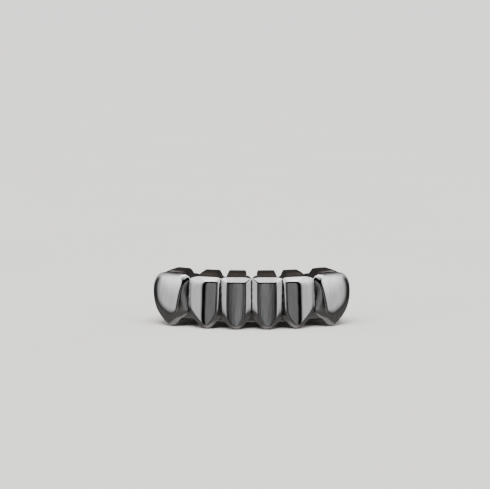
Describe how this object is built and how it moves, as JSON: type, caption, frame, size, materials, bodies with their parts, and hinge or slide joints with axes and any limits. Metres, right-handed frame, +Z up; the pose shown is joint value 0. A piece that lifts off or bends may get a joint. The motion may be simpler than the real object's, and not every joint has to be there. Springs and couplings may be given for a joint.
{
  "type": "six-cap lower fang grill",
  "caption": "Hollow plated-metal tooth caps cast in one curved piece, with flat faceted fronts, low roof tabs and domed pointed end caps, worn over the lower front teeth.",
  "frame": {"origin": "centre of the bounding box's footprint, on the surface that the grill rests on", "axes": "+X to the viewer's right along the row of caps, +Y back towards the tongue side, +Z up towards the roofs of the caps; the fronts of the caps face -Y"},
  "size_m": [0.0358, 0.0122, 0.0099],
  "materials": {
    "gunmetal_plating": "mirror-polished dark nickel plating over cast brass"
  },
  "bodies": {
    "root": {"grill": "gunmetal_plating"}
  },
  "joints": []
}
